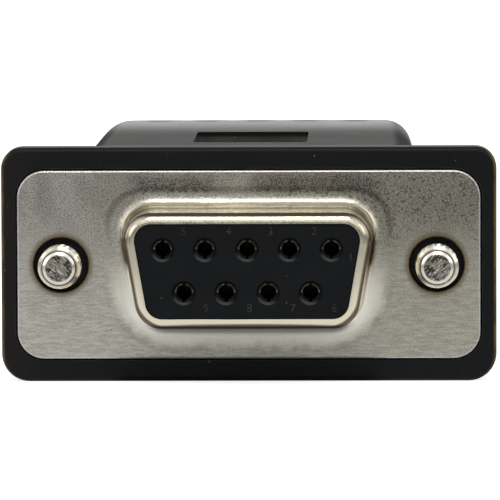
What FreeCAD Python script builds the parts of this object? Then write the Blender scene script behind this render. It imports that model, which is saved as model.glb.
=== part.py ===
"""A nine-way d-sub socket to five-way screw terminal adapter, in millimetres.

The origin is the centre of the connector flange's front face, midway between the two jackscrews.
+X is to the right as the socket is faced, +Y runs back to the wire entries, and +Z is up, where the row
of five contacts lies. The socket, the circuit board and the terminal block are one unit that slides into
a one-piece hood from the front. Two captive jackscrews run through the hood's ears.
"""

import FreeCAD, Part

import math
import os

Vector = FreeCAD.Vector
X_AXIS = Vector(1, 0, 0)
Y_AXIS = Vector(0, 1, 0)
Z_AXIS = Vector(0, 0, 1)

# Connector flange and drawn shroud
FLANGE_END_MARGIN = 2.91
FLANGE_HEIGHT = 12.55
FLANGE_CORNER = 1.8
FLANGE_EDGE_ROUND = 0.15
SHEET = 0.4
SCREW_MARGIN = 4.72
PLATE_HOLE_DIAMETER = 3.5
PLATE_HOLE_ROUND = 0.16
SHROUD_REACH = 5.9
SHROUD_MID_WIDTH = 15.55
SHROUD_HEIGHT = 7.65
SHROUD_CORNER = 1.8
SHROUD_SIDE_ANGLE = 10.0
SHROUD_NOSE_ROUND = 0.66
SHROUD_BASE_ROUND = 0.95
SHROUD_LIP_FLAT = 0.03

# Rear shell and the tabs that hold the two shells together
REAR_FLANGE_TRIM = 0.6
COLLAR_REACH = 2.0
COLLAR_LIP = 0.9
TAB_WIDTH = 2.4
TAB_LENGTH = 0.975
TAB_SPACING = 13.0

# Insulators
MOUTH_DIAMETER = 1.24
MOUTH_DEPTH = 0.5
MOUTH_COUNTERSINK = 0.18
FACE_RECESS = 0.1
REAR_INSULATOR_LENGTH = 5.0
REAR_INSULATOR_CHAMFER = 0.25
INSULATOR_CLEARANCE = 0.05

# Contacts
CONTACT_SIDE_MARGIN = 2.235
ROW_SPACING = 2.84
TOP_ROW_COUNT = 5
BOTTOM_ROW_COUNT = 4
CONTACT_BORE = 1.04
CONTACT_BORE_DEPTH = 5.0
CONTACT_BARREL = 1.5
CONTACT_SLIT = 0.2
CONTACT_SLIT_LENGTH = 3.6
CONTACT_MOUTH_CHAMFER = 0.08
CONTACT_COLLAR = 1.9
CONTACT_COLLAR_LENGTH = 0.7
CONTACT_SHANK = 1.1
CONTACT_CLEARANCE = 0.05
TAIL_DIAMETER = 0.6
TAIL_BEND = 0.8
TAIL_STRAIGHT = 0.18
TAIL_FIRST_DROP = 3.0
TAIL_ROW_STEP = 2.84
TAIL_THROUGH_BOARD = 1.2
TAIL_FLOOR_GAP = 1.1

# Hood
FRAME_RIM = 1.07
FRAME_HEIGHT = 15.6
FRAME_SET_BACK = 0.2
FRAME_DEPTH = 2.4
FRAME_TOP_CORNER = 1.4
FRAME_BOTTOM_CORNER = 1.85
FRAME_EDGE_ROUND = 0.35
BODY_WIDTH = 22.5
BODY_TAPER = 0.25
BODY_LENGTH = 44.0
BODY_CORNER = 1.9
BODY_REAR_ROUND = 0.9
CROWN_START = 27.0
CROWN_DROP = 0.65
HOOD_TOP_WALL = 1.8
HOOD_REAR_WALL = 1.5
HOOD_SIDE_GAP = 0.1
SEAT_CLEARANCE = 0.1
LABEL_RECESS_WIDTH = 7.7
LABEL_RECESS_LENGTH = 12.4
LABEL_RECESS_START = 6.0
LABEL_RECESS_DEPTH = 1.0
LABEL_RECESS_CORNER = 0.5
LEDGE_WIDTH = 0.8

# Jackscrews and their washers
JACKSCREW_THREAD = 2.84
JACKSCREW_POINT = 2.1
JACKSCREW_POINT_LENGTH = 0.45
JACKSCREW_PROJECTION = 3.0
JACKSCREW_UNDERCUT = 2.4
JACKSCREW_UNDERCUT_PROJECTION = 0.2
JACKSCREW_NECK = 2.0
JACKSCREW_HEAD = 4.4
JACKSCREW_HEAD_LENGTH = 7.0
JACKSCREW_HEAD_CHAMFER = 0.3
JACKSCREW_SLOT = 0.8
JACKSCREW_SLOT_DEPTH = 1.2
KNURL_COUNT = 20
KNURL_DEPTH = 0.16
EAR_BOSS_DIAMETER = 6.2
EAR_WEB = 2.7
EAR_HOLE_CLEARANCE = 0.2
SCREW_CHANNEL_DIAMETER = 5.2
WASHER_THICKNESS = 0.8
WASHER_DIAMETER = 4.2
POCKET_CLEARANCE = 0.3
RUNNING_CLEARANCE = 0.05
AXIAL_CLEARANCE = 0.1

# Circuit board
BOARD_THICKNESS = 1.6
BOARD_MARGIN = 0.4
BOARD_SET_BACK = 1.5
BOARD_HOLE_CLEARANCE = 0.15

# Terminal block
WAY_COUNT = 5
WAY_PITCH = 3.5
BLOCK_END_WALL = 0.2
BLOCK_FRONT_WALL = 2.0
BLOCK_REAR_WALL = 2.6
BLOCK_FLOOR = 1.3
BLOCK_GAP = 0.1
NOSE_STAND_OUT = 0.2
NOSE_MARGIN = 0.9
NOSE_END_WALL = 0.35
CELL_WIDTH = 3.1
CELL_DEPTH = 4.8
WIRE_ENTRY_WIDTH = 2.3
WIRE_ENTRY_FLARE = 0.2
CAGE_CLEARANCE = 0.1
CAGE_SIDE = 0.45
CAGE_TOP = 1.2
CAGE_FLOOR = 0.6
CAGE_CORNER = 0.35
TONGUE_THICKNESS = 0.4
TONGUE_WIDTH = 1.7
TONGUE_LEG_WIDTH = 1.0
TERMINAL_SCREW = 2.0
TERMINAL_HEAD = 2.7
TERMINAL_HEAD_HEIGHT = 0.8
TERMINAL_HEAD_EDGE = 0.1
TERMINAL_SLOT = 0.5
TERMINAL_SLOT_DEPTH = 0.45
ACCESS_HOLE = 2.4
ACCESS_COUNTERSINK = 0.4

# How far a cut runs past the faces that it opens
PAST = 1.0

# How near two levels lie that are one
SMALL = 1e-4

# Widths, which grow with the shroud as they do from one size of socket to the next
SCREW_SPACING = SHROUD_MID_WIDTH + 2 * SCREW_MARGIN
FLANGE_WIDTH = SCREW_SPACING + 2 * FLANGE_END_MARGIN
FRAME_WIDTH = FLANGE_WIDTH + 2 * FRAME_RIM

# Levels of the hood
FRAME_TOP = FRAME_HEIGHT / 2
FRAME_BOTTOM = -FRAME_HEIGHT / 2
FRAME_BACK = FRAME_SET_BACK + FRAME_DEPTH
CAVITY_TOP = FRAME_TOP - HOOD_TOP_WALL
CAVITY_BACK = BODY_LENGTH - HOOD_REAR_WALL
SCREW_X = SCREW_SPACING / 2

# The socket's stack, from its face to its back
CONTACT_PITCH = (SHROUD_MID_WIDTH - 2 * CONTACT_SIDE_MARGIN) / (TOP_ROW_COUNT - 1)
COLLAR_STEP = (FLANGE_HEIGHT - SHROUD_HEIGHT) / 2 - TAB_LENGTH - AXIAL_CLEARANCE
SHELLS_BACK = 2 * SHEET
COLLAR_BACK = SHELLS_BACK + COLLAR_REACH
INSULATOR_FACE = FACE_RECESS - SHROUD_REACH
CONTACT_FRONT = INSULATOR_FACE + MOUTH_DEPTH
REAR_INSULATOR_END = SHEET + REAR_INSULATOR_LENGTH
BOARD_FRONT = REAR_INSULATOR_END + BOARD_SET_BACK
CONTACT_COLLAR_FRONT = SHEET - INSULATOR_CLEARANCE - CONTACT_COLLAR_LENGTH
SHROUD_LIP = SHROUD_NOSE_ROUND + SHROUD_LIP_FLAT
NOSE_INNER_ROUND = max(SHROUD_NOSE_ROUND - SHEET, SHEET / 8)

# The jackscrew's stack, from the shells back to its head
WASHER_FRONT = SHELLS_BACK + AXIAL_CLEARANCE
WEB_FRONT = WASHER_FRONT + WASHER_THICKNESS + JACKSCREW_PROJECTION + AXIAL_CLEARANCE
EAR_BOSS_END = WEB_FRONT + EAR_WEB

# The board under the lower contacts, and the floor below it
BOARD_TOP = -ROW_SPACING / 2 - TAIL_BEND - TAIL_STRAIGHT
BOARD_BOTTOM = BOARD_TOP - BOARD_THICKNESS
TAIL_END = BOARD_BOTTOM - TAIL_THROUGH_BOARD
CAVITY_BOTTOM = TAIL_END - TAIL_FLOOR_GAP

# The terminal block's stack between the board and the hood's roof, where wires get the height left over
BLOCK_TOP = CAVITY_TOP - BLOCK_GAP
HEAD_BOTTOM = BLOCK_TOP - TERMINAL_HEAD_HEIGHT
CELL_FLOOR = BOARD_TOP + BLOCK_FLOOR
CAGE_BOTTOM = CELL_FLOOR + CAGE_CLEARANCE
CAGE_FLOOR_TOP = CAGE_BOTTOM + CAGE_FLOOR
WIRE_GAP = (HEAD_BOTTOM - CAGE_FLOOR_TOP - TONGUE_THICKNESS - CAGE_CLEARANCE - CAGE_TOP) / 2
TONGUE_BOTTOM = CAGE_FLOOR_TOP + WIRE_GAP
TONGUE_TOP = TONGUE_BOTTOM + TONGUE_THICKNESS
CAGE_ROOF = TONGUE_TOP + CAGE_CLEARANCE

# The terminal block in plan
BLOCK_WIDTH = WAY_COUNT * WAY_PITCH + 2 * BLOCK_END_WALL
BLOCK_BACK = CAVITY_BACK - BLOCK_GAP
CELL_BACK = BLOCK_BACK - BLOCK_REAR_WALL
CELL_FRONT = CELL_BACK - CELL_DEPTH
CELL_Y = CELL_BACK - CELL_DEPTH / 2
BLOCK_FRONT = CELL_FRONT - BLOCK_FRONT_WALL
LEG_Y = CELL_FRONT - BLOCK_FRONT_WALL / 2
NOSE_BACK = BODY_LENGTH + NOSE_STAND_OUT
NOSE_END = WIRE_ENTRY_WIDTH / 2 + WIRE_ENTRY_FLARE + NOSE_END_WALL
NOSE_WIDTH = (WAY_COUNT - 1) * WAY_PITCH + 2 * NOSE_END
NOSE_BOTTOM = CAGE_FLOOR_TOP - NOSE_MARGIN
NOSE_TOP = TONGUE_BOTTOM + NOSE_MARGIN
CAVITY_WIDTH = BLOCK_WIDTH + 2 * HOOD_SIDE_GAP
BOARD_WIDTH = BLOCK_WIDTH - 2 * BOARD_MARGIN


def box(x0, x1, y0, y1, z0, z1):
    """A block between two opposite corners."""
    return Part.makeBox(x1 - x0, y1 - y0, z1 - z0, Vector(x0, y0, z0))


def centred_box(width, y0, y1, z0, z1, x=0.0):
    """A block of a width, centred on x."""
    return box(x - width / 2, x + width / 2, y0, y1, z0, z1)


def rod(diameter, y0, y1, x=0.0, z=0.0):
    """A round bar along Y."""
    return Part.makeCylinder(diameter / 2, y1 - y0, Vector(x, y0, z), Y_AXIS)


def post(diameter, z0, z1, x, y):
    """A round bar along Z."""
    return Part.makeCylinder(diameter / 2, z1 - z0, Vector(x, y, z0), Z_AXIS)


def runs_along(edge, axis):
    """True for a straight edge parallel to an axis."""
    if not isinstance(edge.Curve, Part.Line):
        return False
    return abs(abs(edge.tangentAt(edge.FirstParameter).dot(axis)) - 1) < SMALL


def edges_on(shape, axis, level):
    """The edges that lie wholly in the plane where a coordinate has a level."""
    low, high = {"y": ("YMin", "YMax"), "z": ("ZMin", "ZMax")}[axis]
    return [
        edge
        for edge in shape.Edges
        if abs(getattr(edge.BoundBox, low) - level) < SMALL
        and abs(getattr(edge.BoundBox, high) - level) < SMALL
    ]


def slab(width, height, top_corner, bottom_corner, y0, y1):
    """A plate across Y with round corners, centred on X and Z."""
    plate = centred_box(width, y0, y1, -height / 2, height / 2)
    upper = [e for e in plate.Edges if runs_along(e, Y_AXIS) and middle(e).z > 0]
    plate = plate.makeFillet(top_corner, upper)
    lower = [e for e in plate.Edges if runs_along(e, Y_AXIS) and abs(middle(e).z + height / 2) < SMALL]
    return plate.makeFillet(bottom_corner, lower)


def middle(edge):
    """An edge's centre of mass."""
    return edge.CenterOfMass


def d_prism(inset, y0, y1):
    """A prism along Y with the shroud's D outline moved in by an inset, or out where it is negative."""
    angle = math.radians(SHROUD_SIDE_ANGLE)
    half_height = SHROUD_HEIGHT / 2 - inset
    half_width = SHROUD_MID_WIDTH / 2 - inset / math.cos(angle)
    lean = half_height * math.tan(angle)
    top = half_width + lean
    bottom = half_width - lean
    upper = [(-top, half_height), (top, half_height)]
    lower = [(bottom, -half_height), (-bottom, -half_height)]
    corners = upper + lower
    outline = Part.makePolygon([Vector(x, y0, z) for x, z in corners + corners[:1]])
    prism = Part.Face(outline).extrude(Vector(0, y1 - y0, 0))
    return prism.makeFillet(SHROUD_CORNER - inset, [e for e in prism.Edges if runs_along(e, Y_AXIS)])


def contact_places():
    """Name and place of each contact, numbered as a socket is, from the right of the wide row."""
    places = []
    for count, z in ((TOP_ROW_COUNT, ROW_SPACING / 2), (BOTTOM_ROW_COUNT, -ROW_SPACING / 2)):
        for index in range(count):
            x = ((count - 1) / 2 - index) * CONTACT_PITCH
            places.append((f"contact_{len(places) + 1}", x, z))
    return places


def tail_drop_y(z):
    """Where a contact's tail turns down: the upper row steps over the lower one."""
    first = REAR_INSULATOR_END + TAIL_FIRST_DROP
    return first + (TAIL_ROW_STEP if z > 0 else 0.0)


def way_places():
    """The X of each way of the terminal block."""
    return [(index - (WAY_COUNT - 1) / 2) * WAY_PITCH for index in range(WAY_COUNT)]


def drill_plate_holes(shell):
    """The two jackscrew holes of a shell."""
    for x in (-SCREW_X, SCREW_X):
        shell = shell.cut(rod(PLATE_HOLE_DIAMETER, -PAST, SHELLS_BACK + PAST, x))
    return shell


def shell_tab(x, side):
    """One tab of the front shell, folded over the rear shell's edge and down behind it."""
    edge = FLANGE_HEIGHT / 2
    back = SHELLS_BACK + SHEET
    tip = edge - TAB_LENGTH
    tab = centred_box(TAB_WIDTH, SHEET / 2, back, tip, edge, x)
    tab = tab.cut(centred_box(TAB_WIDTH, SHEET / 2 - PAST, SHELLS_BACK, tip - PAST, edge - SHEET, x))
    fold = [e for e in tab.Edges if runs_along(e, X_AXIS)]
    fold = [e for e in fold if abs(middle(e).y - back) < SMALL and abs(middle(e).z - edge) < SMALL]
    tab = tab.makeFillet(SHEET * 0.9, fold)
    return tab if side > 0 else tab.mirror(Vector(0, 0, 0), Z_AXIS)


def inside_outline(edges):
    """Those edges that lie well inside the flange's outline."""
    near = FLANGE_HEIGHT / 2 - FLANGE_EDGE_ROUND - SMALL
    return [e for e in edges if e.BoundBox.ZMax < near and e.BoundBox.ZMin > -near]


def front_shell():
    """Drawn steel: a flange, a D-shaped shroud with a rolled nose, and four crimped tabs."""
    shell = slab(FLANGE_WIDTH, FLANGE_HEIGHT, FLANGE_CORNER, FLANGE_CORNER, 0, SHEET)
    shell = shell.makeFillet(FLANGE_EDGE_ROUND, edges_on(shell, "y", 0))
    shell = shell.fuse(d_prism(0, -SHROUD_REACH, SHEET / 2)).removeSplitter()
    root = [e for e in inside_outline(edges_on(shell, "y", 0)) if abs(middle(e).x) < SCREW_X]
    shell = shell.makeFillet(SHROUD_BASE_ROUND, root)
    shell = shell.makeFillet(SHROUD_NOSE_ROUND, edges_on(shell, "y", -SHROUD_REACH))
    hollow = d_prism(SHEET, SHEET - SHROUD_REACH, SHEET + PAST)
    behind = centred_box(FLANGE_WIDTH, SHEET, SHEET + PAST, -FLANGE_HEIGHT / 2, FLANGE_HEIGHT / 2)
    hollow = hollow.fuse(behind).removeSplitter()
    root = [e for e in inside_outline(edges_on(hollow, "y", SHEET)) if abs(middle(e).x) < SCREW_X]
    hollow = hollow.makeFillet(SHROUD_BASE_ROUND + SHEET, root)
    hollow = hollow.makeFillet(NOSE_INNER_ROUND, edges_on(hollow, "y", SHEET - SHROUD_REACH))
    shell = shell.cut(hollow).cut(d_prism(SHROUD_LIP, -SHROUD_REACH - PAST, 0))
    shell = drill_plate_holes(shell)
    rims = [e for e in edges_on(shell, "y", 0) if isinstance(e.Curve, Part.Circle)]
    rims = [e for e in rims if abs(e.Curve.Radius - PLATE_HOLE_DIAMETER / 2) < SMALL]
    shell = shell.makeFillet(PLATE_HOLE_ROUND, rims)
    for x in (-TAB_SPACING / 2, TAB_SPACING / 2):
        for side in (-1, 1):
            shell = shell.fuse(shell_tab(x, side))
    return shell.removeSplitter()


def rear_shell():
    """Drawn steel: a flange behind the first, and a lipped collar that holds the rear insulator."""
    height = FLANGE_HEIGHT - 2 * SHEET - 2 * AXIAL_CLEARANCE
    width = FLANGE_WIDTH - REAR_FLANGE_TRIM
    plate = slab(width, height, FLANGE_CORNER, FLANGE_CORNER, SHEET, SHELLS_BACK)
    collar = d_prism(-COLLAR_STEP, SHEET, COLLAR_BACK)
    collar = collar.makeFillet(SHEET, edges_on(collar, "y", COLLAR_BACK))
    shell = plate.fuse(collar).removeSplitter()
    shell = shell.cut(d_prism(SHEET - COLLAR_STEP, SHEET - PAST, COLLAR_BACK - SHEET))
    shell = shell.cut(d_prism(COLLAR_LIP - COLLAR_STEP, SHEET, COLLAR_BACK + PAST))
    return drill_plate_holes(shell)


def front_insulator():
    """The moulded face: a D-shaped block with nine countersunk mouths."""
    shoulder = SHEET - SHROUD_REACH + INSULATOR_CLEARANCE
    back = SHEET - INSULATOR_CLEARANCE
    block = d_prism(SHEET + INSULATOR_CLEARANCE, shoulder, back)
    block = block.makeFillet(NOSE_INNER_ROUND + INSULATOR_CLEARANCE, edges_on(block, "y", shoulder))
    block = block.fuse(d_prism(SHROUD_LIP + INSULATOR_CLEARANCE, INSULATOR_FACE, shoulder + SHEET))
    block = block.removeSplitter()
    gap = 2 * CONTACT_CLEARANCE
    seat_front = CONTACT_COLLAR_FRONT - CONTACT_CLEARANCE
    for _, x, z in contact_places():
        mouth = rod(MOUTH_DIAMETER, INSULATOR_FACE - PAST, CONTACT_FRONT, x, z)
        sink = Part.makeCone(
            MOUTH_DIAMETER / 2 + MOUTH_COUNTERSINK,
            MOUTH_DIAMETER / 2,
            MOUTH_COUNTERSINK,
            Vector(x, INSULATOR_FACE, z),
            Y_AXIS,
        )
        bore = rod(CONTACT_BARREL + gap, CONTACT_FRONT - CONTACT_CLEARANCE, back, x, z)
        seat = rod(CONTACT_COLLAR + gap, seat_front, back + PAST, x, z)
        block = block.cut(mouth.fuse([sink, bore, seat]))
    return block


def rear_insulator():
    """The moulded block behind the contacts: a flange inside the rear shell and a stem through its lip."""
    flange_back = COLLAR_BACK - SHEET - INSULATOR_CLEARANCE
    flange = d_prism(SHEET - COLLAR_STEP + INSULATOR_CLEARANCE, SHEET, flange_back)
    stem = d_prism(COLLAR_LIP - COLLAR_STEP + INSULATOR_CLEARANCE, SHEET, REAR_INSULATOR_END)
    stem = stem.makeChamfer(REAR_INSULATOR_CHAMFER, edges_on(stem, "y", REAR_INSULATOR_END))
    block = flange.fuse(stem).removeSplitter()
    for _, x, z in contact_places():
        block = block.cut(rod(CONTACT_SHANK + 2 * CONTACT_CLEARANCE, 0, REAR_INSULATOR_END + PAST, x, z))
    return block


def contact(x, z):
    """A turned socket contact: slit barrel, collar, shank and a tail bent down through the board."""
    bore = CONTACT_BORE / 2
    bore_end = CONTACT_FRONT + CONTACT_BORE_DEPTH
    profile = [
        (bore + CONTACT_MOUTH_CHAMFER, CONTACT_FRONT),
        (CONTACT_BARREL / 2, CONTACT_FRONT),
        (CONTACT_BARREL / 2, CONTACT_COLLAR_FRONT),
        (CONTACT_COLLAR / 2, CONTACT_COLLAR_FRONT),
        (CONTACT_COLLAR / 2, CONTACT_COLLAR_FRONT + CONTACT_COLLAR_LENGTH),
        (CONTACT_SHANK / 2, CONTACT_COLLAR_FRONT + CONTACT_COLLAR_LENGTH),
        (CONTACT_SHANK / 2, REAR_INSULATOR_END),
        (0, REAR_INSULATOR_END),
        (0, bore_end + bore),
        (bore, bore_end),
        (bore, CONTACT_FRONT + CONTACT_MOUTH_CHAMFER),
    ]
    section = Part.makePolygon([Vector(x + r, y, z) for r, y in profile + profile[:1]])
    body = Part.Face(section).revolve(Vector(x, 0, z), Y_AXIS, 360)
    slit_end = CONTACT_FRONT + CONTACT_SLIT_LENGTH
    low = z - CONTACT_BARREL
    high = z + CONTACT_BARREL
    slit = centred_box(CONTACT_SLIT, CONTACT_FRONT - PAST, slit_end, low, high, x)
    return body.cut(slit).fuse(contact_tail(x, z)).removeSplitter()


def contact_tail(x, z):
    """The round tail of a contact: back, round a quarter turn, and down through the board."""
    drop = tail_drop_y(z)
    start = Vector(x, REAR_INSULATOR_END - SHEET, z)
    bend_in = Vector(x, drop - TAIL_BEND, z)
    bend_out = Vector(x, drop, z - TAIL_BEND)
    cut_off = TAIL_BEND * (1 - math.cos(math.radians(45)))
    bend_middle = Vector(x, drop - cut_off, z - cut_off)
    end = Vector(x, drop, TAIL_END)
    path = Part.Wire(
        [
            Part.LineSegment(start, bend_in).toShape(),
            Part.Arc(bend_in, bend_middle, bend_out).toShape(),
            Part.LineSegment(bend_out, end).toShape(),
        ]
    )
    section = Part.Wire(Part.Circle(start, Y_AXIS, TAIL_DIAMETER / 2).toShape())
    return path.makePipeShell([section], True, False)


def circuit_board():
    """The board that joins the contact tails to the terminal legs."""
    board = centred_box(BOARD_WIDTH, BOARD_FRONT, BLOCK_BACK, BOARD_BOTTOM, BOARD_TOP)
    holes = [(TAIL_DIAMETER, x, tail_drop_y(z)) for _, x, z in contact_places()]
    holes += [(math.hypot(TONGUE_LEG_WIDTH, TONGUE_THICKNESS), x, LEG_Y) for x in way_places()]
    for pin, x, y in holes:
        drill = pin + 2 * BOARD_HOLE_CLEARANCE
        board = board.cut(post(drill, BOARD_BOTTOM - PAST, BOARD_TOP + PAST, x, y))
    return board


def wire_entry(x):
    """The rectangular passage that a wire takes from the nose into its clamp, flared at its mouth."""
    passage = centred_box(
        WIRE_ENTRY_WIDTH, CELL_BACK - PAST, NOSE_BACK + PAST, CAGE_FLOOR_TOP, TONGUE_BOTTOM, x
    )
    mouth = []
    for grow, y in ((0.0, NOSE_BACK - 2 * WIRE_ENTRY_FLARE), (WIRE_ENTRY_FLARE, NOSE_BACK)):
        left = x - WIRE_ENTRY_WIDTH / 2 - grow
        right = x + WIRE_ENTRY_WIDTH / 2 + grow
        low = CAGE_FLOOR_TOP - grow
        high = TONGUE_BOTTOM + grow
        corners = [(left, low), (right, low), (right, high), (left, high), (left, low)]
        mouth.append(Part.makePolygon([Vector(u, y, v) for u, v in corners]))
    return passage.fuse(Part.makeLoft(mouth, True, True))


def terminal_block():
    """The moulded block: cells open above, wire passages, and a nose in the hood's rear wall."""
    block = centred_box(BLOCK_WIDTH, BLOCK_FRONT, BLOCK_BACK, BOARD_TOP, BLOCK_TOP)
    nose = centred_box(NOSE_WIDTH, CELL_BACK, NOSE_BACK, NOSE_BOTTOM, NOSE_TOP)
    block = block.fuse(nose).removeSplitter()
    gap = 2 * CAGE_CLEARANCE
    leg_front = LEG_Y - TONGUE_THICKNESS / 2 - CAGE_CLEARANCE
    leg_back = LEG_Y + TONGUE_THICKNESS / 2 + CAGE_CLEARANCE
    slot_floor = TONGUE_BOTTOM - CAGE_CLEARANCE
    for x in way_places():
        cell = centred_box(CELL_WIDTH, CELL_FRONT, CELL_BACK, CELL_FLOOR, BLOCK_TOP + PAST, x)
        slot = centred_box(
            TONGUE_WIDTH + gap, leg_front, CELL_FRONT + PAST, slot_floor, BLOCK_TOP + PAST, x
        )
        leg = centred_box(TONGUE_LEG_WIDTH + gap, leg_front, leg_back, BOARD_TOP - PAST, BLOCK_TOP, x)
        block = block.cut(cell.fuse([slot, leg, wire_entry(x)]))
    return block


def terminal_tongue(x):
    """The tinned strip that a wire is clamped against, bent down into a leg through the board."""
    front = LEG_Y - TONGUE_THICKNESS / 2
    back = LEG_Y + TONGUE_THICKNESS / 2
    tongue = centred_box(TONGUE_WIDTH, front, CELL_BACK - CAGE_CLEARANCE, TONGUE_BOTTOM, TONGUE_TOP, x)
    leg = centred_box(TONGUE_LEG_WIDTH, front, back, TAIL_END, TONGUE_TOP, x)
    strip = tongue.fuse(leg).removeSplitter()
    bend = [e for e in edges_on(strip, "z", TONGUE_TOP) if abs(middle(e).y - front) < SMALL]
    return strip.makeFillet(TONGUE_THICKNESS * 0.7, bend)


def clamp_cage(x):
    """The rising cage: a box frame with a threaded roof, open towards the wire."""
    front = CELL_FRONT + CAGE_CLEARANCE
    back = CELL_BACK - CAGE_CLEARANCE
    width = CELL_WIDTH - 2 * CAGE_CLEARANCE
    cage = centred_box(width, front, back, CAGE_BOTTOM, CAGE_ROOF + CAGE_TOP, x)
    cage = cage.makeFillet(CAGE_CORNER, [e for e in cage.Edges if runs_along(e, Y_AXIS)])
    window = centred_box(width - 2 * CAGE_SIDE, front - PAST, back + PAST, CAGE_FLOOR_TOP, CAGE_ROOF, x)
    bore = TERMINAL_SCREW + 2 * RUNNING_CLEARANCE
    thread = post(bore, CAGE_ROOF - PAST, CAGE_ROOF + CAGE_TOP + PAST, x, CELL_Y)
    return cage.cut(window.fuse(thread))


def terminal_screw(x):
    """A slotted cheese-head screw whose point stands on the tongue."""
    point = TONGUE_TOP + AXIAL_CLEARANCE / 2
    shank = post(TERMINAL_SCREW, point, BLOCK_TOP - TERMINAL_SLOT_DEPTH, x, CELL_Y)
    head = post(TERMINAL_HEAD, HEAD_BOTTOM, BLOCK_TOP, x, CELL_Y)
    head = head.makeFillet(TERMINAL_HEAD_EDGE, edges_on(head, "z", BLOCK_TOP))
    slot = centred_box(
        TERMINAL_SLOT,
        CELL_Y - TERMINAL_HEAD,
        CELL_Y + TERMINAL_HEAD,
        BLOCK_TOP - TERMINAL_SLOT_DEPTH,
        BLOCK_TOP + PAST,
        x,
    )
    return head.fuse(shank).removeSplitter().cut(slot)


def jackscrew(x):
    """A captive jackscrew: pointed thread, undercut, thin neck and a knurled, slotted head."""
    tip = -JACKSCREW_PROJECTION
    undercut = -JACKSCREW_UNDERCUT_PROJECTION
    head_back = EAR_BOSS_END + JACKSCREW_HEAD_LENGTH
    chamfer = JACKSCREW_HEAD_CHAMFER
    profile = [
        (0, tip),
        (JACKSCREW_POINT / 2, tip),
        (JACKSCREW_THREAD / 2, tip + JACKSCREW_POINT_LENGTH),
        (JACKSCREW_THREAD / 2, undercut),
        (JACKSCREW_UNDERCUT / 2, undercut),
        (JACKSCREW_UNDERCUT / 2, SHELLS_BACK),
        (JACKSCREW_NECK / 2, SHELLS_BACK),
        (JACKSCREW_NECK / 2, EAR_BOSS_END),
        (JACKSCREW_HEAD / 2 - chamfer, EAR_BOSS_END),
        (JACKSCREW_HEAD / 2, EAR_BOSS_END + chamfer),
        (JACKSCREW_HEAD / 2, head_back - chamfer),
        (JACKSCREW_HEAD / 2 - chamfer, head_back),
        (0, head_back),
    ]
    section = Part.makePolygon([Vector(x + r, y, 0) for r, y in profile + profile[:1]])
    screw = Part.Face(section).revolve(Vector(x, 0, 0), Y_AXIS, 360)
    grooves = []
    for index in range(KNURL_COUNT):
        turn = 2 * math.pi * index / KNURL_COUNT
        radius = JACKSCREW_HEAD / 2 + KNURL_DEPTH
        across = x + radius * math.cos(turn)
        up = radius * math.sin(turn)
        grooves.append(rod(4 * KNURL_DEPTH, EAR_BOSS_END + chamfer, head_back - chamfer, across, up))
    slot_front = head_back - JACKSCREW_SLOT_DEPTH
    slot = centred_box(
        2 * JACKSCREW_HEAD, slot_front, head_back + PAST, -JACKSCREW_SLOT / 2, JACKSCREW_SLOT / 2, x
    )
    return screw.cut(grooves).cut(slot)


def retaining_washer(x):
    """The washer on the jackscrew's neck that keeps it in the hood's ear."""
    washer = rod(WASHER_DIAMETER, WASHER_FRONT, WASHER_FRONT + WASHER_THICKNESS, x)
    return washer.cut(rod(JACKSCREW_NECK + 2 * RUNNING_CLEARANCE, 0, WEB_FRONT, x))


def hood_body():
    """The outside of the hood behind its frame: flat below, crowned above and tapered in plan."""
    front = (FRAME_SET_BACK + FRAME_BACK) / 2
    rear_top = FRAME_TOP - CROWN_DROP
    crown_middle = Vector(0, (CROWN_START + BODY_LENGTH) / 2, FRAME_TOP - CROWN_DROP / 4)
    corners = [
        Vector(0, BODY_LENGTH, rear_top),
        Vector(0, BODY_LENGTH, FRAME_BOTTOM),
        Vector(0, front, FRAME_BOTTOM),
        Vector(0, front, FRAME_TOP),
        Vector(0, CROWN_START, FRAME_TOP),
    ]
    edges = [Part.LineSegment(a, b).toShape() for a, b in zip(corners, corners[1:])]
    edges.append(Part.Arc(corners[-1], crown_middle, corners[0]).toShape())
    side_view = Part.Face(Part.Wire(edges))
    side_view.translate(Vector(-BODY_WIDTH / 2, 0, 0))
    half = BODY_WIDTH / 2
    narrow = half - BODY_TAPER
    outline = [(-half, front), (half, front), (narrow, BODY_LENGTH), (-narrow, BODY_LENGTH), (-half, front)]
    plan = Part.Face(Part.makePolygon([Vector(x, y, FRAME_BOTTOM) for x, y in outline]))
    body = side_view.extrude(Vector(BODY_WIDTH, 0, 0)).common(plan.extrude(Vector(0, 0, FRAME_HEIGHT)))
    lengthwise = [e for e in body.Edges if e.BoundBox.YLength > HOOD_REAR_WALL]
    body = body.makeFillet(BODY_CORNER, lengthwise)
    return body.makeFillet(BODY_REAR_ROUND, edges_on(body, "y", BODY_LENGTH))


def hood_cavity():
    """The hollow that the socket, board and block slide into from the front."""
    gap = 2 * SEAT_CLEARANCE
    corner = FLANGE_CORNER + SEAT_CLEARANCE
    seat = slab(FLANGE_WIDTH + gap, FLANGE_HEIGHT + gap, corner, corner, FRAME_SET_BACK - PAST, SHELLS_BACK)
    neck = d_prism(-COLLAR_STEP - SEAT_CLEARANCE, 0, BOARD_FRONT)
    main = centred_box(CAVITY_WIDTH, 0, CAVITY_BACK, CAVITY_BOTTOM, CAVITY_TOP)
    window = centred_box(
        NOSE_WIDTH + gap, CAVITY_BACK - PAST, BODY_LENGTH + PAST, NOSE_BOTTOM - gap / 2, NOSE_TOP + gap / 2
    )
    tab_back = SHELLS_BACK + SHEET + SEAT_CLEARANCE
    tab_reach = FLANGE_HEIGHT / 2 + SEAT_CLEARANCE
    tabs = [
        centred_box(TAB_WIDTH + gap, 0, tab_back, -tab_reach, tab_reach, x)
        for x in (-TAB_SPACING / 2, TAB_SPACING / 2)
    ]
    return seat.fuse([neck, main, window] + tabs)


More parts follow.
